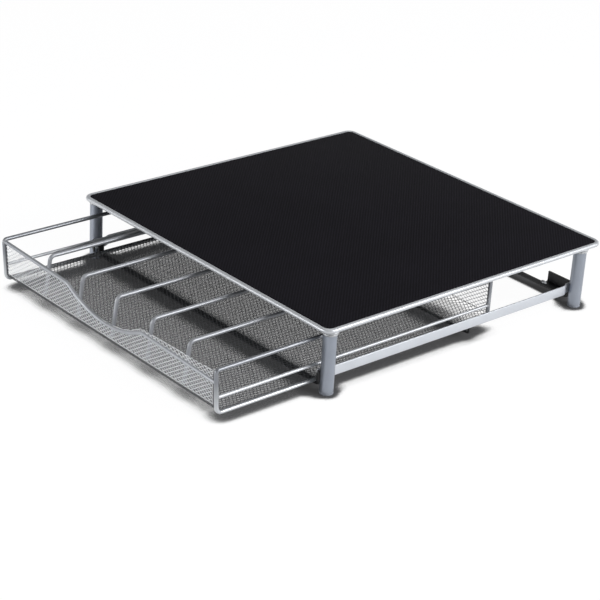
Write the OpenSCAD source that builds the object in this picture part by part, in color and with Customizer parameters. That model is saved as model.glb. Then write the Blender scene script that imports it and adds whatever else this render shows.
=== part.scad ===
// Coffee pod drawer: a low steel stand that a coffee machine stands on, with a wire
// and expanded-metal drawer that slides out from under it.
// X is the width, the drawer opens towards -Y, and the stand's feet are at Z = 0.

/* [Platform] */
// Top of the drawer's side wires to the underside of the platform's rim
headroom = 9.5; // [3:0.1:30]
// Depth of the mat
mat_depth = 353.2; // [345:1:460]
// Thickness of the rubber mat
mat_thickness = 1.8; // [1:0.1:3]
// Thickness of the steel panel under the mat
panel_thickness = 1; // [0.6:0.1:2]
// Diameter of the rim wire round the platform
rim_wire_d = 4.8; // [4:0.1:7]
// Bend radius of the rim wire's corners, at its centre line
rim_corner_r = 7.5; // [5:0.5:20]
// How far the rim stands above the mat
rim_proud = 0.2; // [0:0.1:1]

/* [Legs] */
// Outer diameter of a leg tube
leg_d = 13; // [9:0.5:18]
// Wall of a leg tube
leg_wall = 1.2; // [0.8:0.1:2]
// Side edge of the mat to a leg's centre
leg_side_inset = 4.1; // [3:0.1:8]
// Front edge of the mat to a front leg's centre
leg_front_inset = 6.7; // [5:0.1:20]
// Rear edge of the mat to a rear leg's centre
leg_rear_inset = 17.9; // [8:0.1:30]
// Thickness of the cap that a leg stands on
cap_thickness = 3; // [2:0.5:6]
// Length of the cap's plug inside the tube
cap_plug_length = 10; // [5:1:20]
// Rounding of the cap's bottom edge
cap_edge = 1.2; // [0.4:0.1:2]

/* [Rails] */
// Height of a side rail
rail_height = 10; // [6:0.5:16]
// Thickness of a side rail
rail_thickness = 1.6; // [1:0.1:2.5]
// Underside of a rail above the table
rail_z = 13; // [11:0.5:18]
// How far a rail's middle stands further out than its ends
rail_joggle = 3.1; // [1:0.1:4.5]
// Leg centre to the start of the joggle
joggle_start = 12; // [11:0.5:20]
// Half the length of the flat end that is welded to a leg
rail_pad = 6; // [3:0.5:7]
// Bend radius of the joggle
joggle_r = 4; // [2:0.5:6]

/* [Braces] */
// Underside of the rails down to the top of a brace
brace_drop = 6; // [5:0.5:8]
// Width of the front and rear braces
brace_width = 6.5; // [4:0.5:14]
// Width of the middle brace
middle_brace_width = 3; // [2:0.5:14]
// Thickness of a cross brace
brace_thickness = 1.8; // [1:0.1:2.5]
// Front leg to the middle brace
middle_brace_gap = 186.5; // [80:0.5:230]
// Height of the turned-up ends above the rail's underside
brace_lug = 7; // [4:0.5:9]
// Bend radius of the turned-up ends
brace_bend_r = 2.4; // [2:0.1:3]
// Width of a stop tab
stop_width = 36; // [20:1:60]
// Height of a stop tab above its brace
stop_height = 10.5; // [6:0.5:20]
// Rear leg's centre to the middle of the rear brace
rear_brace_shift = 2.5; // [0:0.5:2.5]
// Rear leg's centre to the face of the stop tabs
stop_reach = 11; // [8:0.5:14]
// Stop tab's outer edge beyond the drawer's side
stop_margin = 0.6; // [0:0.1:1]

/* [Drawer frame] */
// Clearance between a side of the drawer and a brace's turned-up end
side_play = 1; // [0.5:0.1:3]
// Depth of the drawer between the centres of its end wires
drawer_depth = 332.2; // [300:1:340]
// How far the drawer's front wire is drawn out past the mat
drawer_out = 108.5; // [60:0.5:160]
// Diameter of the two side loops
side_wire_d = 4; // [3:0.1:5]
// Diameter of the middle side wires and the rear rim
light_wire_d = 3.2; // [2:0.1:3.5]
// Bottom to top of a side loop, between wire centres
side_height = 42.2; // [37:0.1:45]
// Bottom of a side loop to its middle wire, between wire centres
middle_wire_height = 15.5; // [12:0.5:30]
// Bend radius of the bottom corners of a side loop
loop_bottom_r = 6; // [4:0.5:8]
// Bend radius of the top corners of a side loop
loop_top_r = 3; // [2.5:0.5:5]
// How far the top of the front leans out
front_rake = 2.4; // [0:0.1:6]
// Running clearance under the drawer
slide_clearance = 0.3; // [0.2:0.1:1]

/* [Front rim] */
// Diameter of the front rim wire
front_rim_d = 3.8; // [2:0.1:4.5]
// Side loop's top centre down to the rim's end
rim_end_drop = 1.4; // [0:0.1:6]
// Fall of the rim from its end to the scoop
rim_fall = 3; // [0:0.1:4]
// Width of the finger scoop
scoop_width = 116; // [80:1:160]
// Depth of the finger scoop below its own edges
scoop_depth = 16; // [8:0.5:18]

/* [Mesh] */
// Thickness of the expanded-metal sheet
mesh_thickness = 1; // [0.6:0.1:2]
// Long pitch of the diamonds
diamond_long = 24; // [20:1:40]
// Short pitch of the diamonds
diamond_short = 12; // [10:1:20]
// Width of the strands between the diamonds
strand = 2; // [1:0.1:3]
// Plain edge along the folds and sides of the sheet
mesh_border = 3; // [2:0.5:6]
// Gap between the sheet's edge and a side loop's uprights
mesh_gap = 0.2; // [0:0.1:0.5]
// Side wire's centre line to the edge of the floor on it
mesh_lap = 0.4; // [0:0.1:1]

/* [Dividers] */
// Width of one lane, divider centre to divider centre
lane_pitch = 54.6; // [46:0.2:58]
// Diameter of a divider wire
divider_d = 4; // [3:0.1:4.4]
// Top of the side loops down to the top of the dividers, between centres
divider_drop = 0.4; // [0:0.1:8]
// End wire of the drawer to the foot of a divider
divider_foot = 8.5; // [5:0.5:30]
// How far a divider's foot stands out past its upper bend
divider_slant = 5; // [0:0.5:11]
// Bend radius of a divider
divider_bend_r = 5; // [4:0.5:8]

/* [Hidden] */
$fn = 48;
over = 1; // how far a cutter runs past what it cuts
wire_sides = 12; // flats round a bent wire
bend_steps = 5; // facets along a bend
scoop_steps = 20; // facets along the scoop
lane_count = 6; // one more than the divider nodes

steel = [0.66, 0.67, 0.7];
leg_paint = [0.55, 0.57, 0.61];
rail_paint = [0.78, 0.8, 0.83];
mesh_grey = [0.5, 0.51, 0.53];
rubber_black = [0.09, 0.085, 0.105];
coat_black = [0.13, 0.13, 0.14];

// Drawer, from side to side and upwards
loop_r = side_wire_d/2;
loop_x = lane_count*lane_pitch/2 + loop_r;
brace_top = rail_z - brace_drop;
brace_mid_z = brace_top - brace_thickness/2;
loop_bottom_z = brace_top + slide_clearance + loop_r;
loop_top_z = loop_bottom_z + side_height;
middle_wire_z = loop_bottom_z + middle_wire_height;
rake_angle = atan(front_rake/side_height);

mesh_z = loop_bottom_z + loop_r;
mesh_top = mesh_z + mesh_thickness;
// Half width of the sheet between the loops' uprights, and of the floor over the side wires
mesh_inner_x = loop_x - loop_r - mesh_gap;
mesh_outer_x = loop_x - mesh_lap;
corner_notch = loop_bottom_r + loop_r + 1;

// Inner faces of the rails, at their welded ends and along the middle
pad_x = loop_x + loop_r + side_play + brace_thickness;
web_x = pad_x + rail_joggle;

// Stand, outwards from the drawer
leg_x = pad_x + rail_thickness + leg_d/2;
leg_bore = leg_d - 2*leg_wall;
rim_r = rim_wire_d/2;
mat_half_w = leg_x + leg_side_inset;
mat_half_d = mat_depth/2;
rim_z = loop_top_z + loop_r + headroom + rim_r;
mat_z = rim_z + rim_r - rim_proud - mat_thickness;
panel_z = mat_z - panel_thickness;

// The origin lies under the middle of the whole part with the drawer drawn out as given.
stand_y = (drawer_out + front_rake + loop_r - rim_wire_d)/2;
leg_front_y = stand_y - mat_half_d + leg_front_inset;
leg_rear_y = stand_y + mat_half_d - leg_rear_inset;
front_y = stand_y - mat_half_d - drawer_out;
rear_y = front_y + drawer_depth;
rear_brace_y = leg_rear_y + rear_brace_shift;
stop_y = leg_rear_y + stop_reach;

// Heights in the front's own plane, above the bottom of the side loops
rim_end_h = side_height - rim_end_drop;
scoop_edge_h = rim_end_h - rim_fall;
scoop_r = (pow(scoop_width/2, 2) + pow(scoop_depth, 2))/(2*scoop_depth);
scoop_centre_h = scoop_edge_h - scoop_depth + scoop_r;
scoop_half_angle = asin(scoop_width/2/scoop_r);
fall_angle = atan(rim_fall/(loop_x - scoop_width/2));

divider_z = loop_top_z - divider_drop;
// Plain strip along each fold of the floor, where the dividers stand
foot_strip = divider_foot + divider_d;

// ---- wires and strips bent in one plane ----

// A bent part follows stations, each [point, heading, stretch]. The section there is
// square to its heading, and stretch widens it where it is cut at a slant.
function heading(a, b) = atan2(b[1] - a[1], b[0] - a[0]);
function toward(angle) = [cos(angle), sin(angle)];
function half_turn(angle) = angle > 180 ? angle - 360 : angle < -180 ? angle + 360 : angle;
function mitre(p, angle_in, angle_out) =
    let(turn = half_turn(angle_out - angle_in)) [p, angle_in + turn/2, 1/cos(turn/2)];

// The bend at p, between two headings
function bend(p, angle_in, angle_out, r, steps) =
    let(turn = half_turn(angle_out - angle_in), side = sign(turn),
        centre = p - r*tan(abs(turn)/2)*toward(angle_in) + r*toward(angle_in + 90*side))
    [for (k = [0:steps]) let(a = angle_in + turn*k/steps) [centre - r*toward(a + 90*side), a, 1]];

// Stations along points with a bend of its own radius at each; 0 makes a mitre.
// The end sections of an open path are square to end_angles where these are given.
function stations(points, radii, closed = false, end_angles = undef) =
    let(n = len(points))
    [for (i = [0:n - 1])
        let(angle_in = heading(points[(i + n - 1) % n], points[i]),
            angle_out = heading(points[i], points[(i + 1) % n]),
            first = !closed && i == 0, last = !closed && i == n - 1,
            along = first ? angle_out : angle_in,
            cut = is_undef(end_angles) ? along : end_angles[first ? 0 : 1])
        each first || last ? [[points[i], cut, 1/cos(along - cut)]]
            : radii[i] == 0 ? [mitre(points[i], angle_in, angle_out)]
            : bend(points[i], angle_in, angle_out, radii[i], bend_steps)];

// A point beside a station, to the left of its heading
function beside(s, left) = s[0] + left*s[2]*toward(s[1] + 90);

// A round wire through the stations, in the XY plane
module wire(path, d, closed = false) {
    n = len(path);
    rings = [for (s = path, k = [0:wire_sides - 1])
        let(a = 360*k/wire_sides, p = beside(s, cos(a)*d/2)) [p[0], p[1], sin(a)*d/2]];
    sides = [for (i = [0:closed ? n - 1 : n - 2], k = [0:wire_sides - 1])
        let(j = (i + 1) % n, m = (k + 1) % wire_sides)
        [i*wire_sides + k, i*wire_sides + m, j*wire_sides + m, j*wire_sides + k]];
    ends = closed ? [] : [[for (k = [wire_sides - 1:-1:0]) k],
                          [for (k = [0:wire_sides - 1]) (n - 1)*wire_sides + k]];
    polyhedron(rings, concat(sides, ends), convexity = 4);
}

// A flat strip on edge through the stations
module strip(path, thickness, width) {
    left = [for (s = path) beside(s, thickness/2)];
    right = [for (i = [len(path) - 1:-1:0]) beside(path[i], -thickness/2)];
    translate([0, 0, -width/2]) linear_extrude(width) polygon(concat(right, left));
}

// A right-angled sweep of a round section along the sides of a rounded rectangle
module rectangular_wire(half_x, half_y, r, d) {
    for (q = [0:3]) rotate(90*q) {
        x = q % 2 == 0 ? half_x : half_y;
        y = q % 2 == 0 ? half_y : half_x;
        translate([x, r - y, 0]) rotate([-90, 0, 0]) cylinder(d = d, h = 2*(y - r));
        translate([x - r, y - r, 0]) rotate_extrude(angle = 90) translate([r, 0]) circle(d = d);
    }
}

// Turns a shape drawn in XY to stand in the YZ plane or the XZ plane
module in_yz(x) translate([x, 0, 0]) rotate([90, 0, 90]) children();
module in_xz(y) translate([0, y, 0]) rotate([90, 0, 0]) children();
// The drawer's raked front: X across, Y up the front from the bottom of the loops
module in_front() translate([0, front_y, loop_bottom_z]) rotate([90 + rake_angle, 0, 0]) children();

// ---- stand ----

module rim_wire() {
    color(steel) translate([0, stand_y, rim_z])
        rectangular_wire(mat_half_w + rim_r, mat_half_d + rim_r, rim_corner_r, rim_wire_d);
}

// A flat sheet with round corners that fills the rim
module rim_filling(thickness) {
    r = rim_corner_r - rim_r;
    x = mat_half_w - r;
    y = mat_half_d - r;
    linear_extrude(thickness) {
        square([2*x, 2*(y + r)], center = true);
        square([2*(x + r), 2*y], center = true);
        for (sx = [-1, 1], sy = [-1, 1]) translate([sx*x, sy*y]) circle(r);
    }
}

module platform_panel() color(coat_black) translate([0, stand_y, panel_z]) rim_filling(panel_thickness);

module top_mat() color(rubber_black) translate([0, stand_y, mat_z]) rim_filling(mat_thickness);

// A leg tube, notched at the top where it is welded round the rim wire
module leg(side, y) {
    color(leg_paint) difference() {
        translate([side*leg_x, y, cap_thickness]) cylinder(d = leg_d, h = panel_z - cap_thickness);
        translate([side*leg_x, y, cap_thickness - over])
            cylinder(d = leg_bore, h = panel_z - cap_thickness + 2*over);
        rim_wire();
    }
}

module cap(side, y) {
    color(leg_paint) translate([side*leg_x, y, 0]) {
        rotate_extrude() {
            square([leg_d/2 - cap_edge, cap_thickness]);
            translate([0, cap_edge]) square([leg_d/2, cap_thickness - cap_edge]);
            translate([leg_d/2 - cap_edge, cap_edge]) intersection() {
                circle(cap_edge);
                translate([0, -cap_edge]) square(cap_edge);
            }
        }
        translate([0, 0, cap_thickness]) cylinder(d = leg_bore, h = cap_plug_length);
    }
}

// A flat bar on edge, joggled in at both ends to lie against the legs
module rail(side) {
    pad = pad_x + rail_thickness/2;
    web = web_x + rail_thickness/2;
    ends = [leg_front_y, leg_rear_y];
    color(rail_paint) translate([0, 0, rail_z + rail_height/2])
        strip(stations([[side*pad, ends[0] - rail_pad], [side*pad, ends[0] + rail_pad],
                        [side*web, ends[0] + joggle_start], [side*web, ends[1] - joggle_start],
                        [side*pad, ends[1] - rail_pad], [side*pad, ends[1] + rail_pad]],
                       [0, joggle_r, joggle_r, joggle_r, joggle_r, 0]),
              rail_thickness, rail_height);
}

// A strip across under the drawer, its ends turned up against the rails' inner faces
module brace(y, inner_x, width) {
    x = inner_x - brace_thickness/2;
    top = rail_z + brace_lug;
    color(coat_black) in_xz(y)
        strip(stations([[-x, top], [-x, brace_mid_z], [x, brace_mid_z], [x, top]],
                       [0, brace_bend_r, brace_bend_r, 0]),
              brace_thickness, width);
}

// Rear extension of the last brace, turned up as the stop that the drawer's corner meets
module stop_tab(side) {
    outer_x = loop_x + loop_r + stop_margin;
    tab_y = stop_y + brace_thickness/2;
    color(coat_black) in_yz(side*(outer_x - stop_width/2))
        strip(stations([[rear_brace_y, brace_mid_z], [tab_y, brace_mid_z],
                        [tab_y, brace_top + stop_height]],
                       [0, brace_bend_r, 0]),
              brace_thickness, stop_width);
}

module brace_rear() {
    brace(rear_brace_y, pad_x, brace_width);
    for (side = [-1, 1]) stop_tab(side);
}

// ---- drawer ----

// A side of the drawer: one wire bent round into a closed loop
module side_loop(side) {
    color(steel) in_yz(side*loop_x)
        wire(stations([[front_y, loop_bottom_z], [rear_y, loop_bottom_z],
                       [rear_y, loop_top_z], [front_y - front_rake, loop_top_z]],
                      [loop_bottom_r, loop_bottom_r, loop_top_r, loop_top_r], closed = true),
             side_wire_d, closed = true);
}

// The straight length of a loop's end, that other wires are butted against
module upright(side, y, rake) {
    translate([side*loop_x, y, loop_bottom_z - over])
        rotate([rake, 0, 0]) cylinder(d = side_wire_d, h = side_height + 2*over);
}

module middle_wire(side) {
    color(steel) difference() {
        translate([side*loop_x, front_y - front_rake*middle_wire_height/side_height, middle_wire_z])
            rotate([-90, 0, 0]) cylinder(d = light_wire_d, h = drawer_depth);
        upright(side, front_y, rake_angle);
        upright(side, rear_y, 0);
    }
}

// The rim's line in the front's plane: down to the scoop, round it and up again
scoop_start = mitre([-scoop_width/2, scoop_edge_h], -fall_angle, -scoop_half_angle);
scoop_end = mitre([scoop_width/2, scoop_edge_h], scoop_half_angle, fall_angle);
rim_path = [
    [[-loop_x, rim_end_h], 0, 1/cos(fall_angle)], scoop_start,
    for (k = [1:scoop_steps - 1])
        let(a = scoop_half_angle*(2*k/scoop_steps - 1)) [[0, scoop_centre_h] + scoop_r*toward(a - 90), a, 1],
    scoop_end, [[loop_x, rim_end_h], 0, 1/cos(fall_angle)]];

module front_rim() {
    color(steel) difference() {
        in_front() wire(rim_path, front_rim_d);
        for (side = [-1, 1]) upright(side, front_y, rake_angle);
    }
}

module rear_rim() {
    color(steel) difference() {
        translate([-loop_x, rear_y, loop_top_z - rim_end_drop])
            rotate([0, 90, 0]) cylinder(d = light_wire_d, h = 2*loop_x);
        for (side = [-1, 1]) upright(side, rear_y, 0);
    }
}

// Rows of diamond holes in brick order that stay inside a width and a depth
module diamonds(width, depth) {
    rows = floor((depth - diamond_short)/(diamond_short/2));
    hole = [diamond_long - 2*strand, diamond_short - strand]/2;
    for (j = [0:rows]) {
        shift = (j % 2)*diamond_long/2;
        columns = floor((width - diamond_long - shift)/diamond_long);
        x0 = -columns*diamond_long/2;
        y = (j - rows/2)*diamond_short/2;
        for (i = [0:columns]) translate([x0 + i*diamond_long, y])
            polygon([[-hole[0], 0], [0, -hole[1]], [hole[0], 0], [0, hole[1]]]);
    }
}

// Outline of the front panel up to a distance below the rim's centre line
module front_outline(below, half_x, bottom) {
    intersection() {
        polygon(concat([for (s = rim_path) beside(s, -below)], [[loop_x, bottom], [-loop_x, bottom]]));
        translate([-half_x, bottom]) square([2*half_x, side_height]);
    }
}

module mesh_front() {
    bottom = mesh_top - loop_bottom_z;
    color(mesh_grey) in_front() translate([0, 0, -mesh_thickness/2]) linear_extrude(mesh_thickness)
        difference() {
            front_outline(front_rim_d/2, mesh_inner_x, bottom);
            intersection() {
                front_outline(front_rim_d/2 + strand, mesh_inner_x - mesh_border, bottom + mesh_border);
                translate([0, side_height/2]) diamonds(2*loop_x, 2*side_height);
            }
        }
}

module mesh_floor() {
    depth = drawer_depth + mesh_thickness;
    color(mesh_grey) translate([0, (front_y + rear_y)/2, mesh_z]) linear_extrude(mesh_thickness)
        difference() {
            union() {
                square([2*mesh_inner_x, depth], center = true);
                square([2*mesh_outer_x, depth - 2*corner_notch], center = true);
            }
            diamonds(2*(mesh_inner_x - mesh_border), depth - 2*foot_strip);
        }
}

module mesh_rear() {
    height = loop_top_z - rim_end_drop - light_wire_d/2 - mesh_top;
    color(mesh_grey) in_xz(rear_y) translate([0, mesh_top + height/2, -mesh_thickness/2])
        linear_extrude(mesh_thickness) difference() {
            square([2*mesh_inner_x, height], center = true);
            diamonds(2*(mesh_inner_x - mesh_border), height - 2*mesh_border);
        }
}

// A wire rail that the pods' flanges rest on, bent down at both ends to stand on the mesh
module divider(i) {
    front = front_y + divider_foot;
    rear = rear_y - divider_foot;
    color(steel) in_yz((i - lane_count/2)*lane_pitch)
        wire(stations([[front, mesh_top], [front + divider_slant, divider_z],
                       [rear - divider_slant, divider_z], [rear, mesh_top]],
                      [0, divider_bend_r, divider_bend_r, 0], end_angles = [90, -90]),
             divider_d);
}

rim_wire();
platform_panel();
top_mat();
leg(-1, leg_front_y);  // leg_front_left
leg(1, leg_front_y);  // leg_front_right
leg(-1, leg_rear_y);  // leg_rear_left
leg(1, leg_rear_y);  // leg_rear_right
cap(-1, leg_front_y);  // cap_front_left
cap(1, leg_front_y);  // cap_front_right
cap(-1, leg_rear_y);  // cap_rear_left
cap(1, leg_rear_y);  // cap_rear_right
rail(-1);  // rail_left
rail(1);  // rail_right
brace(leg_front_y, pad_x, brace_width);  // brace_front
brace(leg_front_y + middle_brace_gap, web_x, middle_brace_width);  // brace_middle
brace_rear();
side_loop(-1);  // side_loop_left
side_loop(1);  // side_loop_right
middle_wire(-1);  // middle_wire_left
middle_wire(1);  // middle_wire_right
front_rim();
rear_rim();
mesh_front();
mesh_floor();
mesh_rear();
divider(1);  // divider_1
divider(2);  // divider_2
divider(3);  // divider_3
divider(4);  // divider_4
divider(5);  // divider_5
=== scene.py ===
# Coffee pod drawer: the finish of the steel stand, its mat, and the wire and mesh drawer.
import math
import bpy
from mathutils import Matrix, Vector


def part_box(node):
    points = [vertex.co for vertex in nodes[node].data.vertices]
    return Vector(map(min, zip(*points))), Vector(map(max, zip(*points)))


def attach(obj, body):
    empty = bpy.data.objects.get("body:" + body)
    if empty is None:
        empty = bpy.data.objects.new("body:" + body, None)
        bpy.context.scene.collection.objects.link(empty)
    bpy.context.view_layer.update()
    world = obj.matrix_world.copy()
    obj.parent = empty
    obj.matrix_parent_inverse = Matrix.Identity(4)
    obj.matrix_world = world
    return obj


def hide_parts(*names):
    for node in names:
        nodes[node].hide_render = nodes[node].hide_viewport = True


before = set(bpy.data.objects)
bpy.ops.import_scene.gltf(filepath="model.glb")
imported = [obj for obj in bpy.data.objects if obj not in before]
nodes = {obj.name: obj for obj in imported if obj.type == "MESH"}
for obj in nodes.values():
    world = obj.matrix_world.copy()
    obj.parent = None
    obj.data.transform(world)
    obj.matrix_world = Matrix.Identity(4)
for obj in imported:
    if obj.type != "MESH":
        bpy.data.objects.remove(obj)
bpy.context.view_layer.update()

mm = 0.001  # metres

shot = {
    "azimuth": 47.98,  # degrees round from the drawer's front
    "elevation": 25.12,
    "roll": 3.62,
    "lens": 113.94,  # mm
    "sensor": 36,  # mm
    "place": (1.2757, -1.1427, 0.7946),  # metres
    "farthest": 50,
}


def placeCamera():
    around, above, roll = (math.radians(shot[turn]) for turn in ("azimuth", "elevation", "roll"))
    back = Vector((math.sin(around) * math.cos(above), -math.cos(around) * math.cos(above),
                   math.sin(above)))
    right = Vector((math.cos(around), math.sin(around), 0))
    up = back.cross(right)
    across = right * math.cos(roll) + up * math.sin(roll)
    upwards = up * math.cos(roll) - right * math.sin(roll)
    turn = Matrix((across, upwards, back)).transposed()
    bpy.ops.object.camera_add(location=shot["place"], rotation=turn.to_euler())
    camera = bpy.context.object
    camera.data.lens = shot["lens"]
    camera.data.sensor_width = shot["sensor"]
    camera.data.clip_end = shot["farthest"]
    bpy.context.scene.camera = camera


placeCamera()
print("camera placed")


def linear(hexCode):
    channels = [int(hexCode[i:i + 2], 16) / 255 for i in (1, 3, 5)]
    return [c / 12.92 if c <= 0.04045 else ((c + 0.055) / 1.055) ** 2.4 for c in channels] + [1]


def addNode(material, kind, settings=None, values=None, links=None):
    tree = material.node_tree
    node = tree.nodes.new("ShaderNode" + kind)
    for name, value in (settings or {}).items():
        setattr(node, name, value)
    for socket, value in (values or {}).items():
        node.inputs[socket].default_value = value
    for socket, source in (links or {}).items():
        tree.links.new(source, node.inputs[socket])
    return node


def newMaterial(name, surface):
    material = bpy.data.materials.new(name)
    material.use_nodes = True
    shader = material.node_tree.nodes["Principled BSDF"]
    for socket, value in surface.items():
        shader.inputs[socket].default_value = value
    return material, shader


coatRelief = 0.06 * mm  # height of the pebbling in a powder coat


def powderCoat(name, finish):
    # Powder coat: a slightly pebbled skin over steel, a little uneven in tone and gloss.
    # The sizes of its blotches and grain, and the heights between which it changes, are in mm.
    material, shader = newMaterial(name, {"Metallic": finish["metallic"]})
    link = material.node_tree.links.new
    place = addNode(material, "TexCoord").outputs["Object"]
    blotch = addNode(material, "TexNoise", values={"Scale": 1 / (finish["blotch"] * mm), "Detail": 3},
                     links={"Vector": place})
    tone = addNode(material, "Mix", {"data_type": "RGBA"},
                   {6: linear(finish["colour"]), 7: linear(finish["shade"])},
                   {0: blotch.outputs["Fac"]})
    # The lower tone is painted light: the part is lighter near the floor, fading out higher up
    if "lower" in finish:
        height = addNode(material, "SeparateXYZ", links={"Vector": place})
        rise = addNode(material, "MapRange",
                       values={"From Min": finish["lowerTo"] * mm, "From Max": finish["upperFrom"] * mm},
                       links={"Value": height.outputs["Z"]})
        tone = addNode(material, "Mix", {"data_type": "RGBA"}, {6: linear(finish["lower"])},
                       {0: rise.outputs["Result"], 7: tone.outputs[2]})
    link(tone.outputs[2], shader.inputs["Base Color"])
    grain = addNode(material, "TexNoise", values={"Scale": 1 / (finish["grain"] * mm), "Detail": 2},
                    links={"Vector": place})
    smoothest, roughest = finish["roughness"]
    gloss = addNode(material, "MapRange", values={"To Min": smoothest, "To Max": roughest},
                    links={"Value": grain.outputs["Fac"]})
    link(gloss.outputs["Result"], shader.inputs["Roughness"])
    peel = addNode(material, "Bump", values={"Strength": finish["peel"], "Distance": coatRelief},
                   links={"Height": grain.outputs["Fac"]})
    link(peel.outputs["Normal"], shader.inputs["Normal"])
    return material


# Silver powder coat with metal flake: bright where it faces the light, dark where it turns away.
# Its dark colour is painted shade, and the lowest wires are painted lighter, fully below 14 mm and
# fading out by 40 mm, as painted light.
paintedShadeSilverCoat = powderCoat("silver powder coat on steel wire", {
    "colour": "#8F9297", "shade": "#82858B", "metallic": 0.7, "roughness": (0.32, 0.42),
    "lower": "#C6C9CD", "lowerTo": 14, "upperFrom": 40,
    "blotch": 14, "grain": 0.9, "peel": 0.2})
# The wire coat with less flake and a lighter colour, as painted light, so the wire stays light on every
# side
paintedLightCoat = powderCoat("light silver powder coat on steel wire", {
    "colour": "#CFD2D6", "shade": "#C1C4C9", "metallic": 0.45, "roughness": (0.34, 0.44),
    "blotch": 16, "grain": 0.9, "peel": 0.2})
# The same wire coat at a mid grey, painted between the shaded and the lit copy, with half the flake so
# that its highlights are soft
paintedHalfLightCoat = powderCoat("mid silver powder coat on steel wire", {
    "colour": "#A9ACB1", "shade": "#9B9EA4", "metallic": 0.5, "roughness": (0.34, 0.44),
    "blotch": 14, "grain": 0.9, "peel": 0.2})
# The coat on the drawn tubes, bluer and full of flake: it darkens quickly away from the light
legCoat = powderCoat("blue-grey powder coat on steel tube", {
    "colour": "#9CA2AC", "shade": "#8E949F", "metallic": 0.75, "roughness": (0.32, 0.44),
    "blotch": 18, "grain": 1.1, "peel": 0.35})
# The coat on the rolled strip, with little flake, nearly white where the light falls
railCoat = powderCoat("light grey powder coat on steel strip", {
    "colour": "#D2D6DC", "shade": "#C5C9D0", "metallic": 0.45, "roughness": (0.34, 0.46),
    "blotch": 20, "grain": 1.0, "peel": 0.3})
# Slit and stretched sheet with little flake: its pale, even tone is painted light, for the light that
# the real strands catch where they twist out of the sheet
paintedLightMeshCoat = powderCoat("grey powder coat on expanded steel", {
    "colour": "#EDEFF2", "shade": "#D8DADE", "metallic": 0.3, "roughness": (0.36, 0.48),
    "blotch": 12, "grain": 0.8, "peel": 0.2})
# The same sheet where it is the floor, matt, with its colour darkened as painted shade, the shade of
# pods standing on it
paintedShadeMeshCoat = powderCoat("grey powder coat on expanded steel in painted shade", {
    "colour": "#545659", "shade": "#45474B", "metallic": 0.2, "roughness": (0.52, 0.62),
    "blotch": 12, "grain": 0.8, "peel": 0.2})
# The sheet's edges, rolled in beside the uprights, where the coat is in its own shade
hemCoat = powderCoat("dark grey coat in the rolled edge of the sheet", {
    "colour": "#5A5B5F", "shade": "#4B4C50", "metallic": 0.3, "roughness": (0.5, 0.6),
    "blotch": 10, "grain": 0.8, "peel": 0.2})
# Plain black coat without flake: matt, so that strips and panel stay dark from every side
blackCoat = powderCoat("black powder coat on steel", {
    "colour": "#1B1B1E", "shade": "#151517", "metallic": 0, "roughness": (0.45, 0.55),
    "blotch": 25, "grain": 1.0, "peel": 0.2})
# Coat over a weld: the ripple shows through it, and it is speckled light and dark in small blotches
weldCoat = powderCoat("silver powder coat over weld beads", {
    "colour": "#EEF0F3", "shade": "#303338", "metallic": 0.4, "roughness": (0.32, 0.5),
    "blotch": 2.5, "grain": 0.7, "peel": 0.6})
# Moulded polythene: no flake, an even grey with a low, soft sheen
capPlastic = powderCoat("moulded grey polythene", {
    "colour": "#8D929C", "shade": "#858A94", "metallic": 0, "roughness": (0.5, 0.62),
    "blotch": 9, "grain": 0.7, "peel": 0.3})

waveLength = 0.314  # metres from band to band of a wave texture at scale 1


def matRubber(name, finish):
    # Calendered rubber with a woven grain pressed in: nearly black, with a soft sheen at low angles
    material, shader = newMaterial(name, {"Roughness": finish["roughness"],
                                          "Specular IOR Level": finish["specular"]})
    link = material.node_tree.links.new
    place = addNode(material, "TexCoord").outputs["Object"]
    heights = []
    for turn in (45, -45):
        lay = addNode(material, "Mapping", values={"Rotation": (0, 0, math.radians(turn))},
                      links={"Vector": place})
        bands = addNode(material, "TexWave",
                        values={"Scale": waveLength / (finish["weave"] * mm),
                                "Distortion": finish["waver"], "Detail": 1, "Detail Scale": 2},
                        links={"Vector": lay.outputs["Vector"]})
        heights.append(bands.outputs["Fac"])
    weave = addNode(material, "Math", {"operation": "MULTIPLY"}, links={0: heights[0], 1: heights[1]})
    cloud = addNode(material, "TexNoise", values={"Scale": 1 / (finish["cloud"] * mm), "Detail": 4},
                    links={"Vector": place})
    drift = addNode(material, "Math", {"operation": "MULTIPLY"}, {1: finish["drift"]},
                    {0: cloud.outputs["Fac"]})
    mixing = addNode(material, "Math", {"operation": "MULTIPLY_ADD"}, {1: finish["contrast"]},
                     {0: weave.outputs[0], 2: drift.outputs[0]})
    tone = addNode(material, "Mix", {"data_type": "RGBA"},
                   {6: linear(finish["colour"]), 7: linear(finish["crest"])},
                   {0: mixing.outputs[0]})
    link(tone.outputs[2], shader.inputs["Base Color"])
    relief = addNode(material, "Bump",
                     values={"Strength": finish["relief"], "Distance": finish["depth"] * mm},
                     links={"Height": weave.outputs[0]})
    link(relief.outputs["Normal"], shader.inputs["Normal"])
    return material


# The real grain is about 1 mm; its weave is drawn coarser, 2.6 mm, so that it shows
rubberMat = matRubber("calendered rubber", {
    "colour": "#070609", "crest": "#23212A", "roughness": 0.7, "specular": 0.1,
    "weave": 2.6, "waver": 0.4, "contrast": 0.8, "relief": 0.6, "depth": 0.3,
    "cloud": 60, "drift": 0.25})
print("materials made")


def dress(material, *names):
    for name in names:
        nodes[name].data.materials.clear()
        nodes[name].data.materials.append(material)


dress(paintedLightCoat, "rim_wire", "middle_wire_left", "middle_wire_right")
dress(paintedShadeSilverCoat, "rear_rim")
dress(legCoat, "leg_front_left", "leg_front_right", "leg_rear_left", "leg_rear_right")


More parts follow.
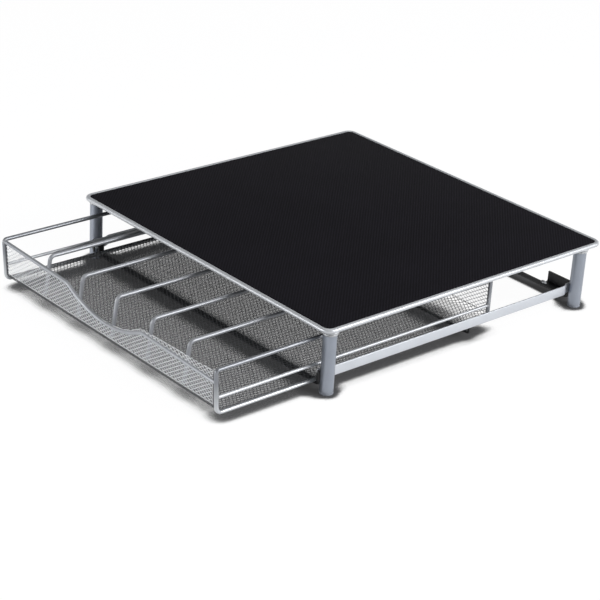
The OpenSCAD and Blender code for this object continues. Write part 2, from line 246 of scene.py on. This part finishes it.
def finishPiece(name, body, material, replaced=(), smooth=40):
    # The piece just modelled gets its name, its finish and the body that it rides on
    piece = bpy.context.object
    piece.name = name
    bpy.ops.object.mode_set(mode="OBJECT")
    piece.data.materials.clear()
    piece.data.materials.append(material)
    bpy.ops.object.select_all(action="DESELECT")
    piece.select_set(True)
    bpy.ops.object.transform_apply(location=True, rotation=True, scale=True)
    bpy.ops.object.shade_smooth_by_angle(angle=math.radians(smooth))
    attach(piece, body)
    if replaced:
        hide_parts(*replaced)


bending = {
    "sides": 16,  # flats round a wire
    "fewest": 3,  # steps in a bend
    "stepAngle": 12,  # degrees
    "stepLength": 6 * mm,
    "merge": 0.05 * mm,
}


def bendWire(start, axis, heading, diameter, moves, closed=False):
    # Draws a wire as it is bent: each move is a straight length, or a bend of (radius, degrees)
    # about the axis
    bpy.ops.object.select_all(action="DESELECT")
    axis, heading, at = Vector(axis), Vector(heading), Vector(start)
    bpy.ops.mesh.primitive_circle_add(vertices=bending["sides"], radius=diameter / 2, location=at,
                                      rotation=heading.to_track_quat("Z", "Y").to_euler())
    bpy.ops.object.transform_apply(location=True, rotation=True, scale=True)
    bpy.ops.object.mode_set(mode="EDIT")
    bpy.ops.mesh.select_all(action="SELECT")
    for move in moves:
        if isinstance(move, tuple):
            radius, degrees = move
            inward = axis.cross(heading) * math.copysign(1, degrees)
            centre = at + inward * radius
            angle = math.radians(degrees)
            steps = max(bending["fewest"], int(abs(degrees) / bending["stepAngle"]),
                        int(radius * abs(angle) / bending["stepLength"]))
            bpy.ops.mesh.spin(steps=steps, angle=-angle, center=centre, axis=axis)
            turn = Matrix.Rotation(angle, 3, axis)
            at = centre + turn @ (at - centre)
            heading = turn @ heading
        else:
            at = at + heading * move
            bpy.ops.mesh.extrude_region_move(TRANSFORM_OT_translate={"value": heading * move})
    bpy.ops.mesh.select_all(action="SELECT")
    if closed:
        bpy.ops.mesh.remove_doubles(threshold=bending["merge"])
    else:
        bpy.ops.mesh.select_all(action="DESELECT")
        bpy.ops.mesh.select_non_manifold()
        bpy.ops.mesh.edge_face_add()
        bpy.ops.mesh.select_all(action="SELECT")
    bpy.ops.mesh.normals_make_consistent(inside=False)
    bpy.ops.object.mode_set(mode="OBJECT")


low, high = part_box("side_loop_left")
loop = {
    "wire": 4 * mm,
    "bottomBend": 6 * mm,  # to the wire's centre line
    "topBend": 3 * mm,
    "rake": 2.4 * mm,  # the top of the front leans out
}
wireRadius = loop["wire"] / 2
bottomZ, topZ = low.z + wireRadius, high.z - wireRadius
frontTopY, rearY = low.y + wireRadius, high.y - wireRadius
frontY = frontTopY + loop["rake"]
height = topZ - bottomZ
rakeAngle = math.degrees(math.atan2(loop["rake"], height))


def bendLoop(side, x):
    bottomCut = loop["bottomBend"]
    topCut = loop["topBend"]
    rakedCut = loop["bottomBend"] * math.tan(math.radians((90 - rakeAngle) / 2))
    leanCut = loop["topBend"] * math.tan(math.radians((90 + rakeAngle) / 2))
    lean = math.hypot(height, loop["rake"])
    bendWire((x, (frontY + rearY) / 2, bottomZ), (1, 0, 0), (0, 1, 0), loop["wire"], [
        (rearY - frontY) / 2 - bottomCut, (bottomCut, 90),
        height - bottomCut - topCut, (topCut, 90),
        rearY - frontTopY - topCut - leanCut, (topCut, 90 + rakeAngle),
        lean - leanCut - rakedCut, (bottomCut, 90 - rakeAngle),
        (rearY - frontY) / 2 - rakedCut], closed=True)
    finishPiece("sideLoop" + side, "drawer", paintedShadeSilverCoat,
                ["side_loop_" + side.lower()])


loopX = (low.x + high.x) / 2
bendLoop("Left", loopX)
bendLoop("Right", -loopX)
print("side loops bent")

rim = {
    "wire": 3.8 * mm,
    "end": 40.8 * mm,  # height of its ends up the front, from the bottom of the side loops
    "fall": 3 * mm,
    "scoopWidth": 116 * mm,
    "scoopDepth": 16 * mm,
    "kink": 14 * mm,  # bend radius where the scoop begins
}
scoopHalf = rim["scoopWidth"] / 2
scoopRadius = (scoopHalf ** 2 + rim["scoopDepth"] ** 2) / (2 * rim["scoopDepth"])
scoopAngle = math.degrees(math.asin(scoopHalf / scoopRadius))
scoopEdge = rim["end"] - rim["fall"]
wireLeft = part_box("front_rim")[0].x  # where the rim meets the left loop
rake = math.radians(rakeAngle)
upFront = Vector((0, -math.sin(rake), math.cos(rake)))


def frontPoint(x, up):
    return Vector((x, frontY, bottomZ)) + upFront * up


def rimHeight(x):
    # Height of the rim's centre line up the front
    if abs(x) > scoopHalf:
        return scoopEdge + rim["fall"] * (abs(x) - scoopHalf) / (-loopX - scoopHalf)
    return scoopEdge - rim["scoopDepth"] + scoopRadius - math.sqrt(scoopRadius ** 2 - x ** 2)


def bendRim():
    fall = math.degrees(math.atan2(rim["fall"], -loopX - scoopHalf))
    turn = scoopAngle - fall
    cut = rim["kink"] * math.tan(math.radians(turn / 2))
    trim = math.degrees(cut / scoopRadius)
    start = frontPoint(wireLeft, rimHeight(wireLeft))
    heading = Vector((1, 0, 0)) * math.cos(math.radians(fall)) - upFront * math.sin(math.radians(fall))
    straight = (-scoopHalf - wireLeft) / math.cos(math.radians(fall)) - cut
    axis = Vector((1, 0, 0)).cross(upFront)
    bendWire(start, axis, heading, rim["wire"], [
        straight, (rim["kink"], -turn), (scoopRadius, 2 * (scoopAngle - trim)),
        (rim["kink"], -turn), straight])
    finishPiece("frontRim", "drawer", paintedHalfLightCoat, ["front_rim"])


bendRim()

divider = {
    "count": 5,
    "wire": 4 * mm,
    "bend": 5 * mm,
    "slant": 5 * mm,  # how far a foot stands out past the upper bend
}


def bendDivider(number):
    name = "divider_%d" % number
    low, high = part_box(name)
    radius = divider["wire"] / 2
    rise = high.z - radius - low.z
    leg = Vector((0, divider["slant"], rise))
    turn = math.degrees(math.atan2(rise, divider["slant"]))
    cut = divider["bend"] * math.tan(math.radians(turn / 2))
    start = Vector(((low.x + high.x) / 2, low.y + radius, low.z))
    bendWire(start, (1, 0, 0), leg.normalized(), divider["wire"], [
        leg.length - cut, (divider["bend"], -turn),
        high.y - low.y - 2 * (radius + divider["slant"] + cut),
        (divider["bend"], -turn), leg.length - cut])
    finishPiece("divider%d" % number, "drawer", paintedHalfLightCoat, [name])


for number in range(1, divider["count"] + 1):
    bendDivider(number)
print("rim and dividers bent")

# The strands are fine, so that the diamonds stay open when they are seen aslant
sheet = {
    "long": 6 * mm,  # pitch along the width
    "short": 3.9 * mm,  # pitch across it
    "strand": 0.62 * mm,
    "fold": 3 * mm,  # radius of the folds at the floor's front and rear
    "spare": 4,  # diamonds past the edges before the sheet is cut
    "tuck": 0.3,  # share of a diamond; strand ends this near to the rim are drawn in to it
}
floorLow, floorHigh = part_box("mesh_floor")
sheetZ = (floorLow.z + floorHigh.z) / 2
middleY = (frontY + rearY) / 2
foldTurn = math.pi / 2 - rake
frontCorner = frontY - (sheetZ - bottomZ) * math.tan(rake)
frontFlat = middleY - frontCorner - sheet["fold"] * math.tan(foldTurn / 2)
rearFlat = rearY - middleY - sheet["fold"]
halfRow = sheet["short"] / 2


def foldedPoint(x, along):
    # Where a point of the flat sheet lands once its front and rear are folded up
    if along < -frontFlat:
        past = -frontFlat - along
        turned = min(past / sheet["fold"], foldTurn)
        rest = past - turned * sheet["fold"]
        y = middleY - frontFlat - sheet["fold"] * math.sin(turned) - rest * math.cos(turned)
        return (x, y, sheetZ + sheet["fold"] * (1 - math.cos(turned)) + rest * math.sin(turned))
    if along > rearFlat:
        past = along - rearFlat
        turned = min(past / sheet["fold"], math.pi / 2)
        rest = past - turned * sheet["fold"]
        y = middleY + rearFlat + sheet["fold"] * math.sin(turned)
        return (x, y, sheetZ + sheet["fold"] * (1 - math.cos(turned)) + rest)
    return (x, middleY + along, sheetZ)


def stretchSheet(name, node, material, halfWidth, start, end, topLine=None):
    bpy.ops.object.select_all(action="DESELECT")
    # A square grid turned by 45 degrees and stretched is a field of diamonds
    reach = int(2 * halfWidth / sheet["long"] + (end - start) / sheet["short"]) + sheet["spare"]
    reach += reach % 2
    bpy.ops.mesh.primitive_grid_add(x_subdivisions=reach, y_subdivisions=reach, size=reach,
                                    location=(0, 0, 0))
    panel = bpy.context.object
    # Rows stay in step from one panel to the next
    centre = round((start + end) / 2 / sheet["short"]) * sheet["short"]
    stretch = (sheet["long"] / math.sqrt(2), sheet["short"] / math.sqrt(2), 1, 1)
    panel.data.transform(Matrix.Translation((0, centre, 0)) @ Matrix.Diagonal(stretch)
                         @ Matrix.Rotation(math.pi / 4, 4, "Z"))
    bpy.ops.object.mode_set(mode="EDIT")
    for place, outward in (((halfWidth, 0, 0), (1, 0, 0)), ((-halfWidth, 0, 0), (-1, 0, 0)),
                           ((0, start, 0), (0, -1, 0)), ((0, end, 0), (0, 1, 0))):
        bpy.ops.mesh.select_all(action="SELECT")
        bpy.ops.mesh.bisect(plane_co=place, plane_no=outward, clear_outer=True)
    bpy.ops.object.mode_set(mode="OBJECT")
    if topLine:
        bpy.ops.object.mode_set(mode="EDIT")
        bpy.ops.mesh.select_mode(type="FACE")
        bpy.ops.object.mode_set(mode="OBJECT")
        for face in panel.data.polygons:
            face.select = -face.center.y > topLine(face.center.x)
        bpy.ops.object.mode_set(mode="EDIT")
        bpy.ops.mesh.delete(type="FACE")
        bpy.ops.object.mode_set(mode="OBJECT")
        for vertex in panel.data.vertices:
            line = topLine(vertex.co.x)
            if -vertex.co.y > line - sheet["tuck"] * sheet["short"]:
                vertex.co.y = -line
    for vertex in panel.data.vertices:
        vertex.co = foldedPoint(vertex.co.x, vertex.co.y)
    strands = panel.modifiers.new("strands", "WIREFRAME")
    strands.thickness = sheet["strand"]
    strands.use_even_offset = True
    strands.use_boundary = True
    bpy.ops.object.modifier_apply(modifier=strands.name)
    print(name, len(panel.data.polygons), "faces")
    finishPiece(name, "drawer", material, [node], smooth=180)


frontCut = -math.ceil((frontFlat + sheet["fold"] * foldTurn) / halfRow) * halfRow
rearCut = math.ceil((rearFlat + sheet["fold"] * math.pi / 2) / halfRow) * halfRow
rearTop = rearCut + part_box("mesh_rear")[1].z - foldedPoint(0, rearCut)[2]
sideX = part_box("mesh_front")[1].x


def frontTopLine(x):
    # How far along the flat sheet the front's edge lies, under the rim's wire
    return -frontCut + rimHeight(x) - (foldedPoint(0, frontCut)[2] - bottomZ) / math.cos(rake)


stretchSheet("meshFloor", "mesh_floor", paintedShadeMeshCoat, floorHigh.x, frontCut, rearCut)
stretchSheet("meshFront", "mesh_front", paintedLightMeshCoat, sideX, -frontTopLine(sideX) - sheet["short"],
             frontCut, frontTopLine)
stretchSheet("meshRear", "mesh_rear", paintedLightMeshCoat, sideX, rearCut, rearTop)

hem = {  # the sheet's edges, rolled in beside the uprights
    "width": 1.5 * mm,
    "thickness": 1.3 * mm,
}


def rollHem(side, x):
    base = sheetZ + sheet["fold"] - bottomZ
    top = rimHeight(sideX) - rim["wire"] / 2
    bpy.ops.object.select_all(action="DESELECT")
    bpy.ops.mesh.primitive_cube_add(size=1, location=frontPoint(x, (base + top) / 2),
                                    rotation=(rake, 0, 0),
                                    scale=(hem["width"], hem["thickness"], top - base))
    finishPiece("hem" + side, "drawer", hemCoat)


rollHem("Left", -sideX + hem["width"] / 2)
rollHem("Right", sideX - hem["width"] / 2)
print("sheet stretched")

edges = {  # how far they are rounded
    "rail": 0.6 * mm,
    "brace": 0.35 * mm,
    "cap": 0.25 * mm,
    "mat": 0.4 * mm,
    "panel": 0.2 * mm,
    "merge": 0.01 * mm,
    "flat": 2,  # degrees; what bends less is one face
    "sharp": 40,  # degrees; what bends less stays as it is
}


def softenEdges(name, node, material, width, segments=2):
    # The same form as the solid, with its edges rounded as rolling and coating leave them
    bpy.ops.object.select_all(action="DESELECT")
    copy = nodes[node].copy()
    copy.data = nodes[node].data.copy()
    for key in list(copy.keys()):  # what marks it as a node of the solids
        del copy[key]
    copy.parent = None
    bpy.context.scene.collection.objects.link(copy)
    bpy.context.view_layer.objects.active = copy
    copy.select_set(True)
    bpy.ops.object.mode_set(mode="EDIT")
    bpy.ops.mesh.select_all(action="SELECT")
    bpy.ops.mesh.remove_doubles(threshold=edges["merge"])
    bpy.ops.mesh.dissolve_limited(angle_limit=math.radians(edges["flat"]))
    bpy.ops.object.mode_set(mode="OBJECT")
    edge = copy.modifiers.new("edge", "BEVEL")
    edge.width = width
    edge.segments = segments
    edge.limit_method = "ANGLE"
    edge.angle_limit = math.radians(edges["sharp"])
    bpy.ops.object.modifier_apply(modifier=edge.name)
    finishPiece(name, "stand", material, [node])


for side in ("Left", "Right"):
    softenEdges("rail" + side, "rail_" + side.lower(), railCoat, edges["rail"], segments=3)
for place in ("Front", "Middle", "Rear"):
    softenEdges("brace" + place, "brace_" + place.lower(), blackCoat, edges["brace"])
for end in ("Front", "Rear"):
    for side in ("Left", "Right"):
        softenEdges("cap" + end + side, "cap_%s_%s" % (end.lower(), side.lower()),
                    capPlastic, edges["cap"])
softenEdges("matSheet", "top_mat", rubberMat, edges["mat"], segments=3)
softenEdges("panelSheet", "platform_panel", blackCoat, edges["panel"])
print("strip and sheet edges rounded")

weld = {
    "wireBead": 0.75 * mm,  # thickness of the bead round a wire's end
    "endInset": 0.7 * mm,  # of the bead from the end of a middle wire
    "footRise": 0.3 * mm,  # of the bead above a divider's foot
    "legBead": 1.4 * mm,
    "legDrops": (0.4 * mm, 2.8 * mm),  # of a leg's two beads below the rim wire
    "legSpread": 0.4 * mm,  # how far a bead at the rim wire would stand out from the tube
    "legTaper": 3,  # and a bead that lies lower stands out less, by its drop over this
    "tabPlace": (133.5 * mm, 216.8 * mm, 7.1 * mm),  # foot of a stop tab
    "tabHalf": (4 * mm, 2.25 * mm, 2.2 * mm),
    "lugPlace": (173.6 * mm, -122.2 * mm, 15.8 * mm),  # end of the front brace, on the rail
    "lugHalf": (2.4 * mm, 0.9 * mm, 7.5 * mm),
    "ripple": 0.12 * mm,
}


def layBeads(name, body, material, rings=(), tacks=()):
    # Rings are beads run round a wire or a tube, tacks are short straight ones
    bpy.ops.object.select_all(action="DESELECT")
    beads = []
    for place, axis, radius, thickness in rings:
        turn = Vector(axis).to_track_quat("Z", "Y").to_euler()
        bpy.ops.mesh.primitive_torus_add(location=place, rotation=turn,
                                         major_radius=radius, minor_radius=thickness,
                                         major_segments=14, minor_segments=6)
        beads.append(bpy.context.object)
    for place, size in tacks:
        bpy.ops.mesh.primitive_uv_sphere_add(segments=10, ring_count=6, location=place, scale=size)
        beads.append(bpy.context.object)
    for count, bead in enumerate(beads):
        bpy.ops.object.select_all(action="DESELECT")
        bead.select_set(True)
        bpy.context.view_layer.objects.active = bead
        bpy.ops.object.transform_apply(location=True, rotation=True, scale=True)
        bpy.ops.object.mode_set(mode="EDIT")
        bpy.ops.mesh.select_all(action="SELECT")
        bpy.ops.transform.vertex_random(offset=weld["ripple"], seed=count)
        bpy.ops.object.mode_set(mode="OBJECT")
    for bead in beads:
        bead.select_set(True)
    bpy.ops.object.join()
    finishPiece(name, body, material, smooth=180)


def weldDrawer():
    rings = []
    for side in ("left", "right"):
        low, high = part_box("middle_wire_" + side)
        centre = (low + high) / 2
        radius = (high.z - low.z) / 2
        for y in (low.y + weld["endInset"], high.y - weld["endInset"]):
            rings.append(((centre.x, y, centre.z), (0, 1, 0), radius, weld["wireBead"]))
    low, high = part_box("rear_rim")
    centre = (low + high) / 2
    for x in (loopX + wireRadius, -loopX - wireRadius):
        rings.append((frontPoint(x, rimHeight(x)), (1, 0, 0), rim["wire"] / 2, weld["wireBead"]))
        rings.append(((x, centre.y, centre.z), (1, 0, 0), (high.z - low.z) / 2, weld["wireBead"]))
    radius = divider["wire"] / 2
    for number in range(1, divider["count"] + 1):
        low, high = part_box("divider_%d" % number)
        for y in (low.y + radius, high.y - radius):
            place = ((low.x + high.x) / 2, y, low.z + weld["footRise"])
            rings.append((place, (0, 0, 1), radius, weld["wireBead"]))
    layBeads("drawerWelds", "drawer", weldCoat, rings)


def weldStand():
    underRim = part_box("rim_wire")[0].z
    rings = []
    for end in ("front", "rear"):
        for side in ("left", "right"):
            low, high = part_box("leg_%s_%s" % (end, side))
            centre = (low + high) / 2
            radius = (high.x - low.x) / 2 + weld["legSpread"]
            for drop in weld["legDrops"]:
                rings.append(((centre.x, centre.y, underRim - drop), (0, 0, 1),
                              radius - drop / weld["legTaper"], weld["legBead"]))
    layBeads("standWelds", "stand", weldCoat, rings)
    # The tacks at the stop tabs' feet take the light coat on the black strip: their light colour is a
    # painted highlight
    for name, spot, material in (("tabTacks", "tab", paintedLightCoat), ("lugWelds", "lug", blackCoat)):
        x, y, z = weld[spot + "Place"]
        layBeads(name, "stand", material,
                 tacks=[((side * x, y, z), weld[spot + "Half"]) for side in (-1, 1)])


weldDrawer()
weldStand()
print("welds laid")

stage = {
    "size": 12,
    "paper": "#BFBFBF",
    "shade": "#505052",  # of the paper close under the part
    "contact": 20 * mm,  # reach of that shade; the sheet lies 12 mm up
    "samples": 48,
    "covered": 0.76,  # share of open sky where the paper is darkest
    "clear": 0.87,  # and where it is white
    "dim": 0.03,
    "glow": 0.95,
    "walls": 0.6,
    "ceiling": 0.15,
    "horizon": 0.7,  # height at which the walls have faded into the ceiling; overhead is 1
}


def makeStage():
    bpy.ops.object.select_all(action="DESELECT")
    bpy.ops.mesh.primitive_plane_add(size=stage["size"], location=(0, 0, 0))
    floor = bpy.context.object
    floor.name = "floor"
    material = newMaterial("pale paper", {})[0]
    tree = material.node_tree
    ray = addNode(material, "LightPath")
    seen = addNode(material, "Math", {"operation": "MAXIMUM"},
                   links={0: ray.outputs["Is Camera Ray"], 1: ray.outputs["Is Glossy Ray"]})
    seen = addNode(material, "Math", {"operation": "MAXIMUM"},
                   links={0: seen.outputs[0], 1: ray.outputs["Is Transmission Ray"]})
    paper = addNode(material, "BsdfDiffuse", values={"Color": linear(stage["paper"])})
    shaded = addNode(material, "BsdfDiffuse", values={"Color": linear(stage["shade"])})
    # White all round, and darker only where the part stands close over the paper
    cover = addNode(material, "AmbientOcclusion", {"samples": stage["samples"]},
                    {"Distance": stage["contact"]})
    glow = addNode(material, "MapRange", {"interpolation_type": "SMOOTHSTEP"},
                   {"From Min": stage["covered"], "From Max": stage["clear"],
                    "To Min": stage["dim"], "To Max": stage["glow"]},
                   {"Value": cover.outputs["AO"]})
    white = addNode(material, "Emission", links={"Strength": glow.outputs["Result"]})
    lit = addNode(material, "AddShader", links={0: shaded.outputs[0], 1: white.outputs[0]})
    mixed = addNode(material, "MixShader",
                    links={0: seen.outputs[0], 1: paper.outputs[0], 2: lit.outputs[0]})
    tree.links.new(mixed.outputs[0], tree.nodes["Material Output"].inputs["Surface"])
    floor.data.materials.append(material)


def paintWalls():
    # A studio that is bright round its walls and dark overhead, and white where it is seen
    world = bpy.data.worlds.new("studio")
    bpy.context.scene.world = world
    world.use_nodes = True
    tree = world.node_tree
    sky = addNode(world, "SeparateXYZ", links={0: addNode(world, "TexCoord").outputs["Generated"]})
    fade = addNode(world, "MapRange", {"interpolation_type": "SMOOTHSTEP"},
                   {"From Min": 0, "From Max": stage["horizon"],
                    "To Min": stage["walls"], "To Max": stage["ceiling"]},
                   {"Value": sky.outputs["Z"]})
    lighting = tree.nodes["Background"]
    lighting.inputs["Color"].default_value = (1, 1, 1, 1)
    tree.links.new(fade.outputs["Result"], lighting.inputs["Strength"])
    shown = addNode(world, "Background", values={"Color": (1, 1, 1, 1), "Strength": 1})
    ray = addNode(world, "LightPath")
    mix = addNode(world, "MixShader", links={0: ray.outputs["Is Camera Ray"],
                                             1: lighting.outputs[0], 2: shown.outputs[0]})
    tree.links.new(mix.outputs[0], tree.nodes["World Output"].inputs["Surface"])


lamps = {  # place and size in metres, watts
    "key": ((1.75, 0.9, 0.95), 1.3, 40),
    "fill": ((-0.7, -2.0, 0.4), 1.4, 30),
    "top": ((0, 0.3, 2.0), 1.6, 6),
}


def hangLamps():
    for name, (place, size, watts) in lamps.items():
        aim = (Vector() - Vector(place)).to_track_quat("-Z", "Y").to_euler()
        bpy.ops.object.light_add(type="AREA", location=place, rotation=aim)
        lamp = bpy.context.object
        lamp.name = name
        lamp.data.size = size
        lamp.data.energy = watts


makeStage()
paintWalls()
hangLamps()
bpy.context.scene.view_settings.view_transform = "Standard"
print("stage and light ready")
